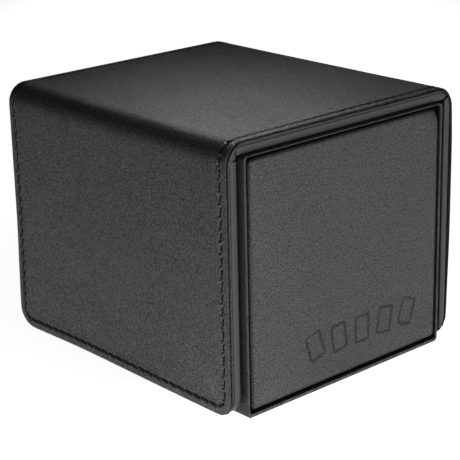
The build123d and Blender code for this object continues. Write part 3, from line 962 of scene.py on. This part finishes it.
def nickel_material(name):
    """Nickel-plated magnets with fine handling marks."""
    n = Nodes(name)
    place = n.add("TexCoord").outputs["Object"]
    marks = n.noise(place, 700.0, 4)
    n.to("Base Color", n.ramp(marks.outputs["Fac"], [(0.3, (0.55, 0.54, 0.5)), (0.7, (0.7, 0.69, 0.66))]))
    n.to("Roughness", n.map(marks.outputs["Fac"], 0.3, 0.7, 0.22, 0.36))
    n.to("Normal", n.bump(marks.outputs["Fac"], 0.01, 0.4))
    n.set(Metallic=1.0)
    return n.material


def floor_material(name):
    """A pale floor that glows, which is painted light: brightest in a patch by the box's front-left corner, steady
    over a long ellipse and fainter beyond it; the glow lights the box.
    """
    n = Nodes(name)
    place = n.add("TexCoord").outputs["Object"]
    n.to("Base Color", n.ramp(n.noise(place, 3.0, 2).outputs["Fac"], [(0.0, grey(0.9)), (1.0, grey(0.92))]))
    turned = n.add("Mapping", [("Vector", place)], vector_type="TEXTURE")
    turned.inputs["Location"].default_value = (*GLOW_MIDDLE, 0.0)
    turned.inputs["Rotation"].default_value = (0.0, 0.0, math.radians(90 - CAMERA_YAW))
    turned.inputs["Scale"].default_value = (*GLOW_REACH, 1.0)
    away = n.add("VectorMath", [(0, turned.outputs[0])], operation="LENGTH").outputs["Value"]
    corner = n.add("VectorMath", [(0, place)], operation="DISTANCE")
    corner.inputs[1].default_value = (*CORNER_GLOW_AT, 0.0)
    # Painted light: a pool of glow by the box's front-left corner, added to the floor's broad glow.
    near = n.map(corner.outputs["Value"], 0.02, 0.14, CORNER_GLOW, 0.0)
    n.to("Emission Strength", n.math("ADD", near, n.map(away, 0.5, 1.0, FLOOR_GLOW, FAR_GLOW)))
    n.set(Roughness=0.9, Specular_IOR_Level=0.0, Emission_Color=(1, 1, 1, 1))
    return n.material


def finish_cad_nodes():
    """The CAD nodes that stay get their materials; the rest were replaced above."""
    board, nickel = board_material("black_board"), nickel_material("nickel")
    for name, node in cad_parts.items():
        material = nickel if "magnets" in name else board
        for place in node.material_slots:
            place.material = material


# ------------------------------------------------------------------ floor, camera, light
def put_lamp(name, light, at, aim):
    lamp = bpy.data.objects.new(name, light)
    lamp.location = at
    lamp.rotation_euler = (Vector(aim) - Vector(at)).to_track_quat("-Z", "Y").to_euler()
    bpy.context.scene.collection.objects.link(lamp)


def area(name, at, aim, size, power):
    """A soft rectangular light in metres, facing its aim."""
    light = bpy.data.lights.new(name, "AREA")
    light.shape = "RECTANGLE"
    light.size, light.size_y = size
    light.energy = power
    put_lamp(name, light, at, aim)


def spot(name, at, aim, spread, power, softness):
    """A lamp with a narrow soft-edged beam of that spread, in degrees."""
    light = bpy.data.lights.new(name, "SPOT")
    light.spot_size = math.radians(spread)
    light.spot_blend = 1.0
    light.energy = power
    light.shadow_soft_size = softness
    put_lamp(name, light, at, aim)


def build_stage():
    bpy.ops.mesh.primitive_plane_add(size=12.0, location=(0, 0, -0.0001))
    floor = bpy.context.object
    floor.name = "floor"
    floor.data.materials.append(floor_material("pale_glowing_floor"))

    world = bpy.data.worlds.new("studio")
    world.use_nodes = True
    world.node_tree.nodes["Background"].inputs["Color"].default_value = (1, 1, 1, 1)
    world.node_tree.nodes["Background"].inputs["Strength"].default_value = WORLD_LIGHT
    bpy.context.scene.world = world
    for name, at, aim, size, power in LIGHTS:
        area(name, at, aim, size, power)
    for name, at, aim, spread, power, softness in SPOTS:
        spot(name, at, aim, spread, power, softness)
    bpy.context.scene.view_settings.view_transform = "Standard"


def build_camera():
    data = bpy.data.cameras.new("camera")
    data.lens = CAMERA_LENS
    data.sensor_width = 36.0
    camera = bpy.data.objects.new("camera", data)
    around, down = math.radians(CAMERA_YAW), math.radians(CAMERA_PITCH)
    ahead = Vector((math.sin(around) * math.cos(down), math.cos(around) * math.cos(down), -math.sin(down)))
    right = Vector((math.cos(around), -math.sin(around), 0.0))
    up = right.cross(ahead)
    roll = math.radians(CAMERA_ROLL)
    right, up = math.cos(roll) * right + math.sin(roll) * up, math.cos(roll) * up - math.sin(roll) * right
    place = Vector(CAMERA_AIM) * MM - ahead * CAMERA_DISTANCE * MM
    camera.matrix_world = Matrix.Translation(place) @ Matrix((right, up, -ahead)).transposed().to_4x4()
    bpy.context.scene.collection.objects.link(camera)
    bpy.context.scene.camera = camera


leather = leather_material("cover_leatherette", 0.010, 0.38, 0.36, 1.0)
end_leather = leather_material("end_leatherette", 0.012, 0.40, 0.33, 0.8)
lining = lining_material("smooth_lining", 0.024, 0.5)
microfibre = microfibre_material("microfibre", 0.05)
build_cover(leather, thread_material("black_thread"))
build_linings(lining)
build_fold_lining(lining)
build_tray(end_leather, microfibre)
build_panels(end_leather)
finish_cad_nodes()
build_stage()
build_camera()
